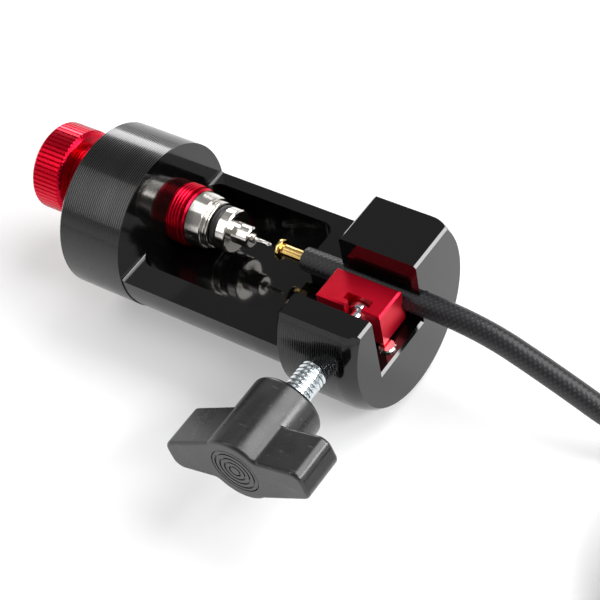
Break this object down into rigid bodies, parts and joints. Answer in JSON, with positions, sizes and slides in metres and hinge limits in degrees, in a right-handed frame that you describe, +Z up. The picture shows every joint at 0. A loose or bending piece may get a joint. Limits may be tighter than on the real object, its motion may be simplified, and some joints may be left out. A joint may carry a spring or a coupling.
{
  "type": "hydraulic brake hose insert press",
  "caption": "Barrel-shaped bench press that screws a needle and nose forward to push a brass insert into a clamped hydraulic hose, with a wing-knob side clamp.",
  "frame": {"origin": "middle of the rear head's clamping cylinder, on the barrel's axis", "axes": "+X along the barrel from the drive knob to the hose, +Z up out of the window, -Y towards the clamp's wing knob"},
  "size_m": [0.211, 0.066, 0.0377],
  "materials": {
    "black_anodised": "glossy black anodised aluminium with fine turning marks",
    "red_anodised": "red anodised aluminium",
    "polished_steel": "polished plated steel",
    "zinc_steel": "bright zinc-plated steel",
    "black_oxide": "black oxide socket bolt",
    "brass": "turned brass",
    "black_rubber": "nitrile rubber",
    "black_plastic": "satin moulded nylon",
    "hose_jacket": "black nylon hose jacket",
    "hose_liner": "pale inner tube"
  },
  "bodies": {
    "frame": {"body": "black_anodised", "rest_pins": "polished_steel", "hose_liner": "hose_liner", "hose_jacket": "hose_jacket", "hose_run": "hose_jacket", "hose_coil": "hose_jacket"},
    "pusher": {"pusher_sleeve": "polished_steel", "thrust_ball": "polished_steel", "backing_ring": "polished_steel", "o_ring": "black_rubber", "press_tip": "polished_steel", "needle": "polished_steel"},
    "drive": {"spindle": "red_anodised", "swivel_clip": "polished_steel", "drive_knob": "red_anodised", "knob_bolt": "black_oxide"},
    "insert": {"brass_insert": "brass"},
    "jaw": {"clamp_block": "red_anodised"},
    "clamp_screw": {"clamp_stud": "zinc_steel", "wing_knob": "black_plastic", "knob_cap": "black_plastic"}
  },
  "joints": [
    {"name": "pusher_slide", "type": "slide", "parent": "frame", "child": "pusher", "axis": [1, 0, 0], "range_m": [0, 0.0105]},
    {"name": "spindle_turn", "type": "hinge", "parent": "pusher", "child": "drive", "pos_m": [0, 0.0043, 0], "axis": [1, 0, 0], "range_deg": [0, 5040.5]},
    {"name": "insert_slide", "type": "slide", "parent": "frame", "child": "insert", "axis": [1, 0, 0], "range_m": [0, 0.00375]},
    {"name": "jaw_slide", "type": "slide", "parent": "frame", "child": "jaw", "axis": [0, -1, 0], "range_m": [0, 0.0045]},
    {"name": "wing_turn", "type": "hinge", "parent": "jaw", "child": "clamp_screw", "pos_m": [0.0568, -0.03, 0], "axis": [0, -1, 0], "range_deg": [0, 1620.5]}
  ],
  "couplings": [
    {"joint": "spindle_turn", "follows": "pusher_slide", "rad_per_m": 8377.6},
    {"joint": "insert_slide", "follows": "pusher_slide", "ratio": 0.35714},
    {"joint": "wing_turn", "follows": "jaw_slide", "rad_per_m": 6283.2}
  ]
}
